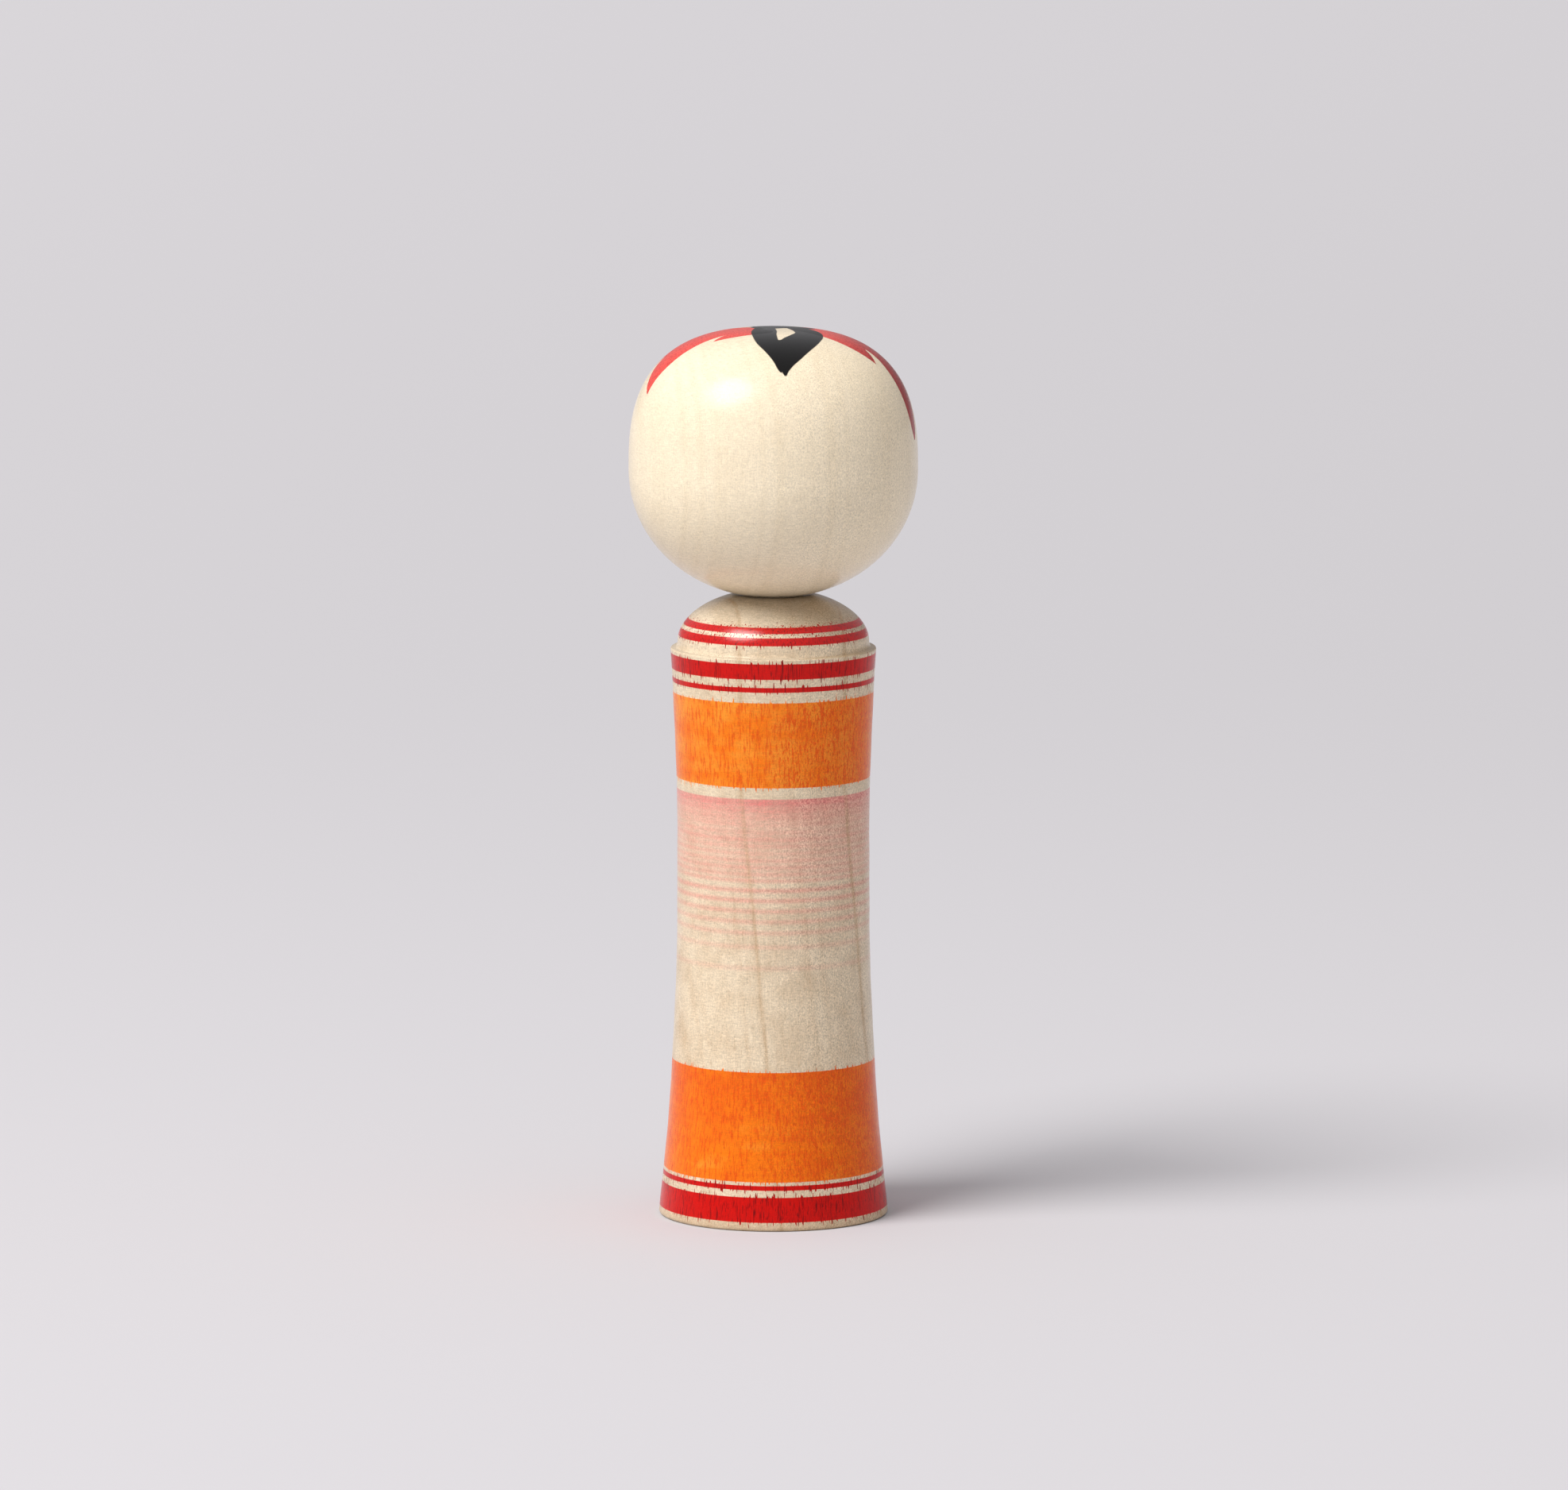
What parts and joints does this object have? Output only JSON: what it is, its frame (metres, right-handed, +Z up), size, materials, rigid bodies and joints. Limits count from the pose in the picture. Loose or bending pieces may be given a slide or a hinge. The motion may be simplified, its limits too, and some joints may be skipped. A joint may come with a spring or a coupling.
{
  "type": "kokeshi doll",
  "caption": "Turned and painted wooden doll with a waisted body, a domed shoulder and a round head that turns on a captive friction-fit tenon.",
  "frame": {"origin": "centre of the flat base, on the surface that the doll stands on", "axes": "+Z up along the turning axis, from base to crown; the face looks along -Y and the painted lock of back hair is on +Y; +X is the doll's left"},
  "size_m": [0.0488, 0.0488, 0.1509],
  "materials": {
    "body_wood": "waxed pale dogwood with dyed bands in red, orange and pink",
    "head_wood": "waxed pale dogwood with ink and red dye brushwork"
  },
  "bodies": {
    "body": {"body": "body_wood"},
    "head": {"head": "head_wood"}
  },
  "joints": [
    {"name": "head_turn", "type": "hinge", "parent": "body", "child": "head", "pos_m": [0, 0, 0.106], "axis": [0, 0, 1], "continuous": true}
  ]
}
